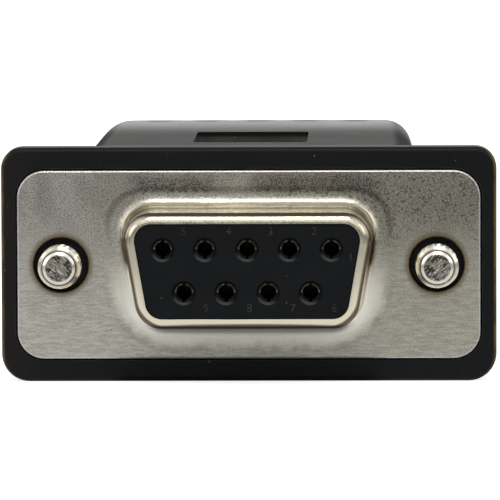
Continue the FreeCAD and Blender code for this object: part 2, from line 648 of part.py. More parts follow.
def board_ledge(side):
    """The ledge along one side wall that the circuit board lies on."""
    inner = side * (BOARD_WIDTH / 2 - LEDGE_WIDTH)
    outer = side * (CAVITY_WIDTH / 2 + HOOD_SIDE_GAP)
    x0, x1 = sorted((inner, outer))
    back = CAVITY_BACK + HOOD_SIDE_GAP
    return box(x0, x1, BOARD_FRONT, back, CAVITY_BOTTOM - HOOD_SIDE_GAP, BOARD_BOTTOM)


def screw_path(x):
    """What an ear gives up to its jackscrew: washer pocket, close hole and open channel behind."""
    pocket = rod(WASHER_DIAMETER + 2 * POCKET_CLEARANCE, 0, WEB_FRONT, x)
    hole = rod(JACKSCREW_NECK + 2 * EAR_HOLE_CLEARANCE, 0, EAR_BOSS_END + PAST, x)
    channel = rod(SCREW_CHANNEL_DIAMETER, EAR_BOSS_END, BODY_LENGTH + PAST, x)
    return pocket.fuse([hole, channel])


def access_hole(x):
    """The countersunk screwdriver hole over one terminal screw."""
    length = BODY_LENGTH - CROWN_START
    radius = (length**2 + CROWN_DROP**2) / (2 * CROWN_DROP)
    surface = FRAME_TOP - radius + math.sqrt(radius**2 - max(CELL_Y - CROWN_START, 0) ** 2)
    hole = post(ACCESS_HOLE, CAVITY_TOP - PAST, FRAME_TOP + PAST, x, CELL_Y)
    sink = Part.makeCone(
        ACCESS_HOLE / 2,
        ACCESS_HOLE / 2 + 2 * ACCESS_COUNTERSINK,
        2 * ACCESS_COUNTERSINK,
        Vector(x, CELL_Y, surface - ACCESS_COUNTERSINK),
        Z_AXIS,
    )
    return hole.fuse(sink)


def hood():
    """The one-piece moulded hood: frame, body and ears, hollow from the front."""
    frame = slab(
        FRAME_WIDTH, FRAME_HEIGHT, FRAME_TOP_CORNER, FRAME_BOTTOM_CORNER, FRAME_SET_BACK, FRAME_BACK
    )
    frame = frame.makeFillet(
        FRAME_EDGE_ROUND, edges_on(frame, "y", FRAME_SET_BACK) + edges_on(frame, "y", FRAME_BACK)
    )
    boss_front = FRAME_SET_BACK + FRAME_EDGE_ROUND
    bosses = [rod(EAR_BOSS_DIAMETER, boss_front, EAR_BOSS_END, x) for x in (-SCREW_X, SCREW_X)]
    recess_end = LABEL_RECESS_START + LABEL_RECESS_LENGTH
    recess = centred_box(
        LABEL_RECESS_WIDTH, LABEL_RECESS_START, recess_end, FRAME_TOP - LABEL_RECESS_DEPTH, FRAME_TOP + PAST
    )
    recess = recess.makeFillet(LABEL_RECESS_CORNER, [e for e in recess.Edges if runs_along(e, Z_AXIS)])
    shape = frame.fuse([hood_body()] + bosses)
    shape = shape.cut([hood_cavity(), recess, screw_path(-SCREW_X), screw_path(SCREW_X)])
    shape = shape.cut([access_hole(x) for x in way_places()])
    return shape.fuse([board_ledge(-1), board_ledge(1)]).removeSplitter()


def pieces():
    """Every piece by the name of its node."""
    made = {
        "hood": hood(),
        "front_shell": front_shell(),
        "rear_shell": rear_shell(),
        "front_insulator": front_insulator(),
        "rear_insulator": rear_insulator(),
        "circuit_board": circuit_board(),
        "terminal_block": terminal_block(),
    }
    for name, x, z in contact_places():
        made[name] = contact(x, z)
    for number, x in enumerate(way_places(), 1):
        made[f"terminal_tongue_{number}"] = terminal_tongue(x)
        made[f"clamp_cage_{number}"] = clamp_cage(x)
        made[f"terminal_screw_{number}"] = terminal_screw(x)
    for side, x in (("left", -SCREW_X), ("right", SCREW_X)):
        made[f"jackscrew_{side}"] = jackscrew(x)
        made[f"retaining_washer_{side}"] = retaining_washer(x)
    return made


def main():
    os.makedirs("parts", exist_ok=True)
    for name, shape in pieces().items():
        shape.exportStep(f"parts/{name}.step")
        print(f"{name}: {len(shape.Solids)} solid, {shape.Volume:.3f} mm3, valid {shape.isValid()}")


main()
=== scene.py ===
"""The looks of a nine-way d-sub socket to screw terminal adapter.

The socket faces -Y and its wide row of contacts is towards +Z. Meshes and lights are in metres,
and the finishes measure in millimetres.
"""

import math
import random

import bmesh
import bpy
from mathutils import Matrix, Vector


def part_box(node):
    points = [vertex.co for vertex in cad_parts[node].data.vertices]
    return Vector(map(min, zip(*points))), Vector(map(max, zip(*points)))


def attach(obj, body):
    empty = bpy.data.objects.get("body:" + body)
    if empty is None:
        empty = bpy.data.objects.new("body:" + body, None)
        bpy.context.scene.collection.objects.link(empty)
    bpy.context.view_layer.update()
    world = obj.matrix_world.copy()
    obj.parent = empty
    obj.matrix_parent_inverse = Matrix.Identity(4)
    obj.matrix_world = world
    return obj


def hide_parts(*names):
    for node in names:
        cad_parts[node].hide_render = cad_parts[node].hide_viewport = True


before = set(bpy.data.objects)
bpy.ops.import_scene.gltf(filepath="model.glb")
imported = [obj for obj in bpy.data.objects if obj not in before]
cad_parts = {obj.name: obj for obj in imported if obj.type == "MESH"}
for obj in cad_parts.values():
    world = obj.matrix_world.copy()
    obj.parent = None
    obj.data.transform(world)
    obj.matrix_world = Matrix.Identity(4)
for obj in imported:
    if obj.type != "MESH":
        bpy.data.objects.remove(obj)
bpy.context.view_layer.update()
scene = bpy.context.scene

MM = 0.001
BLACK = (0, 0, 0)

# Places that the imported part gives, in metres
HOOD_LOW, HOOD_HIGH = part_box("hood")
SHELL_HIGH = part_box("front_shell")[1]
FACE_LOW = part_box("front_insulator")[0]
SCREW_LOW, SCREW_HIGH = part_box("jackscrew_right")
SCREW_X = (SCREW_LOW.x + SCREW_HIGH.x) / 2
SCREW_TIP = SCREW_LOW.y
SCREW_BACK = SCREW_HIGH.y
INSERT_FACE = FACE_LOW.y

# The same places in millimetres, for the finishes
HOOD_FRONT = HOOD_LOW.y / MM
HOOD_TOP = HOOD_HIGH.z / MM
FLANGE_HALF_WIDTH = SHELL_HIGH.x / MM
FLANGE_HALF_HEIGHT = SHELL_HIGH.z / MM
FACE = INSERT_FACE / MM
SCREW_AXIS = SCREW_X / MM
TIP = SCREW_TIP / MM

# The shroud's D outline and the flange's corners, in millimetres
SHROUD_HALF_WIDTH = 7.775
SHROUD_HALF_HEIGHT = 3.825
SHROUD_CORNER = 1.8
SIDE_SLOPE = math.tan(math.radians(10))
FLANGE_CORNER = 1.8

# The hood's screwdriver holes, label recess and rubbed edges with their painted highlight, and the
# board's tracks, in mm
WAY_PITCH = 3.5
HOLES_HALF_SPAN = 9.0
RECESS_HALF_WIDTH = 3.85
RECESS_START = 6.0
RECESS_END = 18.4
BOARD_TRACK_PITCH = 2.77
RUBBED_EDGE = 0.12

# The jackscrew as turned, in metres
THREAD_RADIUS = 1.42 * MM
THREAD_ROOT = 1.08 * MM
THREAD_PITCH = 0.635 * MM
TIP_RADIUS = 0.9 * MM
POINT_RADIUS = 1.08 * MM
BEVEL_LENGTH = 0.09 * MM
POINT_STEP = 0.2 * MM
POINT_LENGTH = 0.45 * MM
UNDERCUT_START = -0.2 * MM
UNDERCUT_RADIUS = 1.2 * MM
NECK_START = 0.8 * MM
NECK_RADIUS = 1.0 * MM
HEAD_START = SCREW_BACK - 7.0 * MM
HEAD_RADIUS = 2.2 * MM
HEAD_CHAMFER = 0.3 * MM
KNURL_DEPTH = 0.09 * MM
SLOT_WIDTH = 0.8 * MM
SLOT_DEPTH = 1.2 * MM
SAW_MARK = 0.11 * MM
SAW_DEPTH = 0.03 * MM
SAW_CHATTER = 0.004 * MM
THREAD_STEP = 0.03 * MM
HEAD_STEP = 0.15 * MM
UNDERCUT_RUNOUT = 0.05 * MM
NECK_RUNOUT = 0.02 * MM
HEAD_RUNOUT = 0.001 * MM

# Counts and shares of the jackscrew's shape
KNURLS = 40
KNURL_SHARPNESS = 0.6
KNURL_START = 0.6
ROOT_FLAT = 0.12
FLANK = 0.74
SCREW_SIDES = 160
TIP_SHARES = (0.85, 0.68, 0.5, 0.32, 0.14)
SHARP_ANGLE = math.radians(38)

# The contacts' numbers, each with the X and Z of its middle in millimetres
NUMBER_PLACES = {
    1: (6.8, 0.85),
    2: (4.4, 2.62),
    3: (1.55, 2.62),
    4: (-1.2, 2.62),
    5: (-4.15, 2.62),
    6: (5.7, -2.45),
    7: (3.0, -2.45),
    8: (0.15, -2.45),
    9: (-2.7, -2.45),
}
NUMBER_HEIGHT = 0.75 * MM
NUMBER_RELIEF = 0.035 * MM

# The photograph's viewpoint, in metres
CAMERA_PLACE = (8.0 * MM, -419.0 * MM, 32.63 * MM)
CAMERA_TARGET = (0.09 * MM, 0.0, 0.976 * MM)
CAMERA_LENS = 455.4
CAMERA_ROLL = math.radians(-0.2)

# The lamps, each with its place and size in metres, its power and its colour
LAMPS = {
    "key_above": ((0.03, -0.31, 0.53), 0.27, 1.1, (1.0, 0.985, 0.96)),
    "fill_left": ((-0.5, -0.35, 0.2), 0.3, 0.35, (0.97, 0.98, 1.0)),
    "fill_right": ((0.5, -0.3, 0.25), 0.3, 0.25, (1.0, 0.98, 0.95)),
}
STUDIO_WHITE = (1, 0.99, 0.965)

# The floor, with its size and gap in metres, and in millimetres where its mirrored glow changes,
# from a painted shadow round the object out to the dimmer far floor
FLOOR_SIZE = 3.0
FLOOR_GAP = 0.02 * MM
MIRROR_SHADOW_EDGE = (7.5, 10.0)
FAR_FLOOR = (30.0, 110.0)
FLOOR_DARK = (0.8, 0.8, 0.79)
FLOOR_LIGHT = (0.84, 0.84, 0.83)
FLOOR_GLOW = (1, 1, 0.98)


class Wire:
    """A socket of a finish's node tree. Sums on it add their own Math nodes."""

    def __init__(self, finish, socket):
        self.finish = finish
        self.socket = socket

    def sum(self, operation, *values):
        inputs = dict(enumerate(values))
        return self.finish.node("ShaderNodeMath", {"operation": operation}, inputs)

    def __add__(self, other):
        return self.sum("ADD", self, other)

    def __sub__(self, other):
        return self.sum("SUBTRACT", self, other)

    def __rsub__(self, other):
        return self.sum("SUBTRACT", other, self)

    def __mul__(self, other):
        return self.sum("MULTIPLY", self, other)

    def __truediv__(self, other):
        return self.sum("DIVIDE", self, other)

    def __pow__(self, other):
        return self.sum("POWER", self, other)

    __radd__ = __add__
    __rmul__ = __mul__

    def size(self):
        return self.sum("ABSOLUTE", self)

    def remainder(self):
        """What is left over a whole number."""
        return self.sum("FRACT", self)

    def at_least(self, other):
        return self.sum("MAXIMUM", self, other)

    def at_most(self, other):
        return self.sum("MINIMUM", self, other)

    def part(self, name):
        """Another output of the same node."""
        return Wire(self.finish, self.socket.node.outputs[name])

    def step(self, start, full):
        """0 up to start and 1 from full on, smooth between. Full may be the lower of the two."""
        if full < start:
            return 1 - self.step(full, start)
        settings = {"interpolation_type": "SMOOTHSTEP"}
        return self.finish.node("ShaderNodeMapRange", settings, {0: self, 1: start, 2: full})

    def band(self, centre, full, end):
        """1 within full of the centre and 0 from end on, smooth between."""
        return (self - centre).size().step(end, full)

    def swing(self, amount):
        """Noise from 0 to 1 made to swing about 0, by half the amount either way."""
        return (self - 0.5) * amount


class Finish:
    """A node material, or the world, built one node at a time."""

    def __init__(self, name, world=False):
        self.data = bpy.data.worlds.new(name) if world else bpy.data.materials.new(name)
        self.data.use_nodes = True
        self.tree = self.data.node_tree
        self.tree.nodes.clear()
        end_kind = "ShaderNodeOutputWorld" if world else "ShaderNodeOutputMaterial"
        self.end = self.tree.nodes.new(end_kind)

    def connect(self, value, socket):
        if isinstance(value, Wire):
            self.tree.links.new(value.socket, socket)
        else:
            socket.default_value = value

    def node(self, kind, settings=None, inputs=None, output=0):
        """Adds a node: its settings first, then its sockets."""
        node = self.tree.nodes.new(kind)
        for key, value in (settings or {}).items():
            setattr(node, key, value)
        for key, value in (inputs or {}).items():
            self.connect(value, node.inputs[key])
        return Wire(self, node.outputs[output])

    def end_with(self, shader):
        """Connects the last shader, and gives the material or world."""
        self.connect(shader, self.end.inputs["Surface"])
        return self.data

    def place(self, scale=(1, 1, 1)):
        """The point on the object in millimetres, stretched if asked."""
        point = self.node("ShaderNodeTexCoord", output="Object")
        stretch = tuple(s / MM for s in scale)
        settings = {"operation": "MULTIPLY"}
        return self.node("ShaderNodeVectorMath", settings, {0: point, 1: stretch})

    def normal(self):
        """The direction that the surface faces."""
        return self.node("ShaderNodeNewGeometry", output="Normal")

    def split(self, vector):
        """The three wires of a point or direction."""
        x = self.node("ShaderNodeSeparateXYZ", inputs={0: vector})
        return x, x.part("Y"), x.part("Z")

    def join(self, x, y, z):
        """A point from three wires or numbers."""
        return self.node("ShaderNodeCombineXYZ", inputs={0: x, 1: y, 2: z})

    def noise(self, size, detail=3.0, roughness=0.55, scale=(1, 1, 1), shift=0.0, distortion=0.0,
              point=None):
        """Noise from 0 to 1 whose lumps are about size millimetres across."""
        settings = {"noise_dimensions": "4D"}
        inputs = {
            "Vector": point or self.place(scale),
            "W": shift,
            "Scale": 1 / size,
            "Detail": detail,
            "Roughness": roughness,
            "Distortion": distortion,
        }
        return self.node("ShaderNodeTexNoise", settings, inputs)

    def dust(self, spacing, start, full, patch, shift):
        """Round specks some millimetres apart, which gather in patches."""
        inputs = {"Vector": self.place(), "Scale": 1 / spacing}
        specks = self.node("ShaderNodeTexVoronoi", inputs=inputs).step(start, full)
        return specks * self.noise(patch, shift=shift).step(0.5, 0.6)

    def mix(self, amount, first, second, blend="MIX"):
        """One colour turning into another."""
        settings = {"data_type": "RGBA", "blend_type": blend}
        inputs = {0: amount, 6: colour(first), 7: colour(second)}
        return self.node("ShaderNodeMix", settings, inputs, 2)

    def tint(self, amount, base, other):
        """A colour multiplied by another, by an amount."""
        return self.mix(amount, base, other, "MULTIPLY")

    def bump(self, height, distance, strength, normal=None):
        """A normal raised by a height that is in parts of the distance, in millimetres."""
        inputs = {"Height": height, "Distance": distance * MM, "Strength": strength}
        if normal:
            inputs["Normal"] = normal
        return self.node("ShaderNodeBump", inputs=inputs)

    def surface(self, **sockets):
        """Ends the material with a principled shader."""
        inputs = {key.replace("_", " "): value for key, value in sockets.items()}
        return self.end_with(self.node("ShaderNodeBsdfPrincipled", inputs=inputs, output="BSDF"))


def colour(value):
    """A colour socket's value from three numbers, or a wire as it is."""
    return value if isinstance(value, Wire) else (*value, 1.0)


def length(x, z):
    """How far a point lies from the middle, from its two wires."""
    return (x * x + z * z) ** 0.5


def dress(material, *nodes):
    """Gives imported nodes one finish."""
    for name in nodes:
        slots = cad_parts[name].data.materials
        slots.clear()
        slots.append(material)


def numbered(name, count):
    """The names of nodes that are numbered from 1."""
    return [f"{name}_{number}" for number in range(1, count + 1)]


def moulded_black(name, tone, roughness, dust):
    """Black moulded plastic: spark-eroded grain, rubbed edges with a painted warm highlight, dust
    and hairline scratches.
    """
    finish = Finish(name)
    grain = finish.noise(0.09, detail=2.0)
    cloud = finish.noise(4.0, detail=4.0, shift=2.0)
    bevel = finish.node("ShaderNodeBevel", {"samples": 6}, {"Radius": RUBBED_EDGE * MM})
    settings = {"operation": "DOT_PRODUCT"}
    edge = finish.node("ShaderNodeVectorMath", settings, {0: bevel, 1: finish.normal()}, "Value")
    rubbed = edge.step(0.995, 0.93) * finish.noise(1.3, detail=4.0, shift=7.0).step(0.3, 0.6)
    dots = finish.dust(0.9, 0.075, 0.045, patch=2.5, shift=5.0)
    scratch_run = finish.noise(0.35, detail=1.0, scale=(1.0, 0.06, 0.35), shift=9.0)
    scratches = scratch_run.band(0.5, 0.0, 0.006) * finish.noise(5.0, shift=3.0).step(0.5, 0.68)

    dark = tuple(0.8 * part for part in tone)
    light = tuple(1.25 * part for part in tone)
    rubbed_brown_and_glint = (0.05, 0.04, 0.024)
    dust_grey = (0.16, 0.16, 0.16)
    base = finish.mix(cloud, dark, light)
    # Rubbed edges: wear, and also a painted warm edge highlight
    base = finish.mix(rubbed * 0.7, base, rubbed_brown_and_glint)
    base = finish.mix((dots * dust + scratches * 0.2).at_most(1.0), base, dust_grey)
    rough = roughness + cloud * 0.08 - rubbed * 0.1 + scratches * 0.1
    normal = finish.bump(grain + cloud * 3.0, 0.006, 0.8)
    normal = finish.bump(scratches + dots * -1.0, 0.01, 0.5, normal)
    return finish, base, rough, normal


def plain_black(name, tone, roughness, dust):
    """Moulded plastic of the pieces inside the hood."""
    finish, base, rough, normal = moulded_black(name, tone, roughness, dust)
    return finish.surface(Base_Color=base, Roughness=rough, Normal=normal, Specular_IOR_Level=0.22)


# Where each mark on the hood starts and where it is full, in millimetres along one axis
BODY = (2.7, 3.0)
HANDLED_REAR = (14.0, 30.0)
HOLE_RUBS = (30.0, 36.0)
WARM_LEFT = (-13.0, -15.8)
GLINT_FRONT = (HOOD_FRONT + 0.35, HOOD_FRONT + 0.15)
BELOW_TOP = (HOOD_TOP - 0.2, HOOD_TOP - 0.5)

HOOD_TONE = (0.0036, 0.0043, 0.0058)
RECESS_DUST = (0.085, 0.08, 0.073)
LEFT_BROWN = (0.012, 0.0105, 0.0085)
FRONT_EDGE_GLINT = (0.15, 0.1, 0.025)


def hood_black():
    """The hood: dull corners, rubs by the screwdriver holes, a smooth rear, a dusty recess and a
    painted gold glint on the frame's front side edges.
    """
    finish, base, rough, normal = moulded_black("hood_black", HOOD_TONE, 0.36, 0.8)
    x, y, z = finish.split(finish.place())
    sideways = finish.split(finish.normal())[0].size()
    on_body = y.step(*BODY)
    on_frame = 1 - on_body

    rear = y.step(*HANDLED_REAR)
    beside_holes = (x * (1 / WAY_PITCH) + 0.5).remainder().band(0.5, 0.1, 0.34)
    worn = beside_holes * x.size().step(HOLES_HALF_SPAN, HOLES_HALF_SPAN - 0.5) * y.step(*HOLE_RUBS)
    rounded = sideways.step(0.1, 0.5) * sideways.step(0.96, 0.8)
    upright = sideways.step(0.85, 0.97)
    # Dull in front, smooth at the rear but for the rubs, dull corners and smoother sides
    body_rough = 0.13 - rear * 0.28 + rear * worn * 0.14
    body_rough = body_rough + rounded * (1 - rear * 0.5) * 0.28 - upright * 0.12
    rough = rough + on_body * body_rough + on_frame * 0.06

    across = x.size().step(RECESS_HALF_WIDTH + 0.05, RECESS_HALF_WIDTH)
    along = y.step(RECESS_START, RECESS_START + 0.1) * y.step(RECESS_END + 0.1, RECESS_END)
    in_recess = across * along * z.step(*BELOW_TOP)
    smeared = finish.noise(2.2, detail=4.0, scale=(1.0, 0.5, 1.0), shift=11.0).step(0.3, 0.7)
    # Painted highlight: a gold glint in patches along the frame's front side edges
    front_edge_glint = y.step(*GLINT_FRONT) * sideways.step(0.3, 0.75)
    glint_patches = finish.noise(1.8, detail=3.0, shift=6.0).step(0.35, 0.6)
    base = finish.mix(in_recess * (smeared * 0.4 + 0.5), base, RECESS_DUST)
    base = finish.mix(x.step(*WARM_LEFT) * on_frame * 0.5, base, LEFT_BROWN)
    base = finish.mix(front_edge_glint * (glint_patches * 0.5 + 0.3), base, FRONT_EDGE_GLINT)
    return finish.surface(Base_Color=base, Roughness=rough, Normal=normal, Specular_IOR_Level=0.16)


def outline_distance(x, z):
    """How far outside the shroud's D outline a point on the flange lies, in millimetres."""
    lean = math.sqrt(1 + SIDE_SLOPE * SIDE_SLOPE)
    side = (x.size() - z * SIDE_SLOPE - SHROUD_HALF_WIDTH) / lean
    top = z.size() - SHROUD_HALF_HEIGHT
    out_x = (side + SHROUD_CORNER).at_least(0.0)
    out_z = (top + SHROUD_CORNER).at_least(0.0)
    return length(out_x, out_z) - SHROUD_CORNER


def rim_distance(x, z):
    """How far inside the flange's outer edge a point lies, in millimetres."""
    out_x = (x.size() - (FLANGE_HALF_WIDTH - FLANGE_CORNER)).at_least(0.0)
    out_z = (z.size() - (FLANGE_HALF_HEIGHT - FLANGE_CORNER)).at_least(0.0)
    return FLANGE_CORNER - length(out_x, out_z)


# Where each mark on the plate starts and where it is full, in millimetres along X, Y or Z
FLANGE_FACE = (-0.3, -0.02)
FLARE = (-2.0, -1.0)
NOSE = (-4.9, -5.3)
NOSE_TOP = (2.0, 3.5)
TARNISHED_TOP = (-1.5, 4.5)
BARE_FOOT = (0.8, -2.2)
RIGHT_SIDE = (2.0, 13.0)
LEFT_TO_RIGHT = (-5.0, 13.0)
STAIN_HEIGHT = (2.9, 4.4)
PURPLE_HEIGHT = (0.5, 3.5)
SIDES_HEIGHT = (-2.5, 0.5)
SHROUD_SIDES = (6.6, 7.8)
TOP_EDGE = (5.7, 6.0)

# The same for distances out from the shroud's outline, in from the rim, and from a screw's axis
STAIN_OUTSIDE = (2.6, 1.7)
STAIN_INSIDE = (0.85, 1.25)
PEEL_START = (0.9, 1.8)
NOSE_RIM_SHADE = (-0.3, -0.14)
NOSE_TURN_SHADE = (-0.45, -0.6)
CUT_EDGE = (0.13, 0.06)
SMOOTH_RING = (3.1, 2.5)
GRIME_AND_SHADE_RING = (2.3, 1.9)
HOLE_MOUTH = (1.95, 1.75)

# Bands on the plate, each with its centre, half the width where it is full, and where it ends
LEFT_STAIN = (-5.0, 1.8, 3.4)
RIGHT_STAIN = (4.6, 3.4, 5.2)
PURPLE_LINE = (1.2, 0.05, 0.32)
PALE_SKIRT = (0.85, 0.2, 1.15)
FOOT_LINE = (1.75, 0.1, 0.5)
NOSE_SHEEN = (-0.36, 0.08, 0.2)

# Colours of the plate
NICKEL_DARK = (0.6, 0.585, 0.54)
NICKEL_LIGHT = (0.69, 0.675, 0.615)
TARNISH = (0.39, 0.38, 0.345)
RIGHT_TARNISH = (0.28, 0.275, 0.22)
STAIN_BROWN = (0.05, 0.045, 0.042)
FOOT_BROWN = (0.3, 0.27, 0.22)
GRAIN_PALE = (0.8, 0.79, 0.75)
DRAWN_GOLD = (0.95, 0.88, 0.7)
SKIRT_PALE = (0.97, 0.94, 0.86)
RING_GRIME_AND_SHADE = (0.22, 0.17, 0.09)
MOUTH_SHADE = (0.03, 0.024, 0.014)
EDGE_BLUE_GLINT = (0.68, 0.73, 0.82)
TOP_EDGE_HIGHLIGHT = (0.95, 0.93, 0.88)

# Colours that are multiplied into the plate's
DRIFT_TINT = (0.66, 0.65, 0.63)
BRUSHED_TINT = (0.7, 0.69, 0.67)
RIGHT_TINT = (0.84, 0.83, 0.79)
SPOT_TINT = (0.2, 0.2, 0.19)
GRAIN_TINT = (0.45, 0.43, 0.41)
PURPLE_TINT = (0.42, 0.35, 0.34)
DRAW_LINE_AND_SHADE_TINT = (0.24, 0.17, 0.09)
NOSE_RIM_SHADE_TINT = (0.13, 0.105, 0.09)
NOSE_TURN_SHADE_TINT = (0.45, 0.41, 0.37)
NOSE_SIDE_SHADE_TINT = (0.72, 0.7, 0.67)
NOSE_SHEEN_TINT = (0.6, 0.61, 0.63)
NOSE_GRAIN_TINT = (0.5, 0.45, 0.4)


def nickel_plate():
    """Satin nickel on drawn steel: grain, tarnish over the shroud, specks, a bright shroud, and
    painted shade and highlights on its edges, nose and hole mouths.
    """
    finish = Finish("satin_nickel")
    x, y, z = finish.split(finish.place())
    near = outline_distance(x, z)
    from_rim = rim_distance(x, z)
    from_screw = length(x.size() - SCREW_AXIS, z)

    grain = finish.noise(0.1, detail=2.0, roughness=0.6, shift=6.0)
    lumps = finish.noise(0.27, detail=3.0, roughness=0.65, shift=1.0)
    patches = finish.noise(0.9, detail=4.0, roughness=0.65, shift=3.0)
    cloud = finish.noise(3.0, detail=4.0, shift=4.0)
    crease = finish.noise(1.2, detail=3.0, shift=9.0)
    blots = finish.noise(0.17, detail=1.0, shift=12.0)
    drifts = finish.noise(1.5, detail=3.0, scale=(1.0, 1.0, 0.6), shift=14.0).step(0.35, 0.65)
    brushed = finish.noise(0.13, detail=2.0, scale=(0.18, 1.0, 1.0), shift=15.0, distortion=0.3)
    peel = finish.noise(0.3, detail=2.0, scale=(0.3, 1.0, 1.0), shift=8.0, distortion=0.4)
    draw_lines = finish.noise(0.1, detail=3.0, roughness=0.6, point=finish.join(near, y, x * 0.02))
    specked = (lumps + grain) * 0.5

    # Where the marks lie
    flat = y.step(*FLANGE_FACE)
    drawn = 1 - flat
    upper = (z + cloud.swing(4.0)).step(*TARNISHED_TOP) * flat
    lower = z.step(*BARE_FOOT)
    right = (x + z * 0.8).step(*RIGHT_SIDE)
    beside = x.size().step(*SHROUD_SIDES) * z.step(*SIDES_HEIGHT)
    on_flare = drawn * y.step(*FLARE)
    on_nose = y.step(*NOSE)
    nose_top = on_nose * z.step(*NOSE_TOP)
    spots = (blots * 0.6 + lumps * 0.4).step(0.46, 0.66) * (1 - from_screw.step(*SMOOTH_RING))
    wandering = x + patches.swing(3.0)
    over = wandering.band(*LEFT_STAIN).at_least(wandering.band(*RIGHT_STAIN))
    reach = near + lumps.swing(1.2)
    stain = over * z.step(*STAIN_HEIGHT) * reach.step(*STAIN_OUTSIDE) * reach.step(*STAIN_INSIDE)
    purple = near.band(*PURPLE_LINE) * z.step(*PURPLE_HEIGHT)
    skirt = (near + patches.swing(0.7)).band(*PALE_SKIRT) * lower
    foot = (near + lumps.swing(0.8)).band(*FOOT_LINE) * lower * patches.step(0.4, 0.6)

    # The flange
    base = finish.mix(cloud, NICKEL_DARK, NICKEL_LIGHT)
    base = finish.mix(upper * 0.6, base, TARNISH)
    base = finish.tint(drifts * upper * 0.7, base, DRIFT_TINT)
    brushing = brushed.step(0.35, 0.65) * flat * (1 - upper)
    base = finish.tint(brushing * 0.8, base, BRUSHED_TINT)
    base = finish.mix(upper * right * 0.5, base, RIGHT_TARNISH)
    base = finish.tint(x.step(*LEFT_TO_RIGHT) * flat, base, RIGHT_TINT)
    base = finish.tint(spots * upper * (right * 0.6 + 0.4), base, SPOT_TINT)
    base = finish.mix(stain * (specked.step(0.38, 0.62) * 0.35 + 0.55), base, STAIN_BROWN)
    dark_grain = grain.step(0.42, 0.58) * flat
    base = finish.tint(dark_grain * (upper * 0.35 + 0.25), base, GRAIN_TINT)
    base = finish.mix(foot * 0.4, base, FOOT_BROWN)
    base = finish.mix(grain.step(0.6, 0.4) * flat * 0.15, base, GRAIN_PALE)
    base = finish.mix(drawn * 0.85, base, DRAWN_GOLD)
    base = finish.mix(skirt * 0.85, base, SKIRT_PALE)
    base = finish.tint(purple * 0.6, base, PURPLE_TINT)
    # Round each screw hole: an olive ring of grime and painted shade, then painted near-black shade
    # at the rolled mouth
    base = finish.mix(from_screw.step(*GRIME_AND_SHADE_RING) * 0.8, base, RING_GRIME_AND_SHADE)
    base = finish.mix(from_screw.step(*HOLE_MOUTH) * 0.7, base, MOUTH_SHADE)
    # Painted highlight on the flange's cut edge: white along the top, a blue glint on the other
    # edges
    edge_glint_tone = finish.mix(z.step(*TOP_EDGE), EDGE_BLUE_GLINT, TOP_EDGE_HIGHLIGHT)
    base = finish.mix(from_rim.step(*CUT_EDGE) * flat * 0.8, base, edge_glint_tone)

    # The drawn shroud, from its flare to its nose
    # Drawing lines on the flare, much heavier on the shroud's sides as painted shade
    drawing = draw_lines.step(0.45, 0.6) * on_flare
    base = finish.tint(drawing * (beside * 0.75 + 0.2), base, DRAW_LINE_AND_SHADE_TINT)
    # Painted shade: a dark line round the nose's outer rim
    base = finish.tint(near.step(*NOSE_RIM_SHADE) * on_nose * 0.95, base, NOSE_RIM_SHADE_TINT)
    # Painted shade, speckled by the grain, on the top of the nose's inward turn
    speckled_turn_shade = specked.step(0.42, 0.6) * near.step(*NOSE_TURN_SHADE) * nose_top
    base = finish.tint(speckled_turn_shade * 0.75, base, NOSE_TURN_SHADE_TINT)
    # Painted shade greys the nose's sides, with a painted grey reflection band along them
    base = finish.tint(on_nose * beside * 0.7, base, NOSE_SIDE_SHADE_TINT)
    base = finish.tint(near.band(*NOSE_SHEEN) * on_nose * beside * 0.5, base, NOSE_SHEEN_TINT)
    base = finish.tint(grain.step(0.45, 0.65) * nose_top * 0.5, base, NOSE_GRAIN_TINT)

    rough = 0.4 - drawn * 0.27 + lumps.swing(0.12) + spots * upper * 0.1 + stain * 0.12
    peeled = peel * flat * near.step(*PEEL_START) * (2.2 - upper * 1.5)
    normal = finish.bump(peeled + crease * drawn * 0.6, 0.03, 0.6)
    normal = finish.bump(draw_lines * drawn + grain * drawn * 0.35, 0.02, 0.5, normal)
    normal = finish.bump(grain * flat - spots * upper, 0.014, 0.7, normal)
    return finish.surface(Base_Color=base, Metallic=1.0, Roughness=rough, Normal=normal)


def insulator_black():
    """The socket's glass-filled face: blue-black, a little cloudy, with painted shade down in the
    bores and on the mouths' countersinks, and a painted highlight where the countersinks face up.
    """
    finish = Finish("insulator_black")
    cloud = finish.noise(1.6, detail=4.0)
    fine = finish.noise(0.07, detail=2.0, shift=3.0)
    y = finish.split(finish.place())[1]
    depth = y.step(FACE + 0.15, FACE + 0.4)
    facing_x, facing_y, facing_z = finish.split(finish.normal())
    forward = facing_y.size()
    rims = forward.step(0.97, 0.85) * forward.step(0.2, 0.5)
    lit_rims = rims * (facing_z + facing_x * 0.25).step(0.3, 0.75)
    dust = finish.dust(0.7, 0.1, 0.06, patch=1.8, shift=7.0)

    blue_black = (0.0026, 0.0034, 0.0046)
    cloudy_black = (0.005, 0.0062, 0.0078)
    fibre_grey = (0.04, 0.04, 0.04)
    dust_grey = (0.1, 0.1, 0.1)
    rim_shade_black = (0.0012, 0.0012, 0.0013)
    rim_highlight_grey = (0.06, 0.066, 0.07)
    bore_shade_black = (0.0006, 0.0006, 0.0007)
    base = finish.mix(cloud, blue_black, cloudy_black)
    base = finish.mix(fine.step(0.66, 0.74) * 0.25, base, fibre_grey)
    base = finish.mix(dust * 0.7, base, dust_grey)
    # Painted shade on the mouths' countersinks, a painted highlight where they face up, and painted
    # shade down the bores
    base = finish.mix(rims, base, rim_shade_black)
    base = finish.mix(lit_rims * 0.7, base, rim_highlight_grey)
    base = finish.mix(depth, base, bore_shade_black)
    normal = finish.bump(fine + cloud * 2.0, 0.006, 0.7)
    rough = 0.42 + cloud * 0.12 + depth * 0.3
    return finish.surface(Base_Color=base, Roughness=rough, Normal=normal, Specular_IOR_Level=0.14)


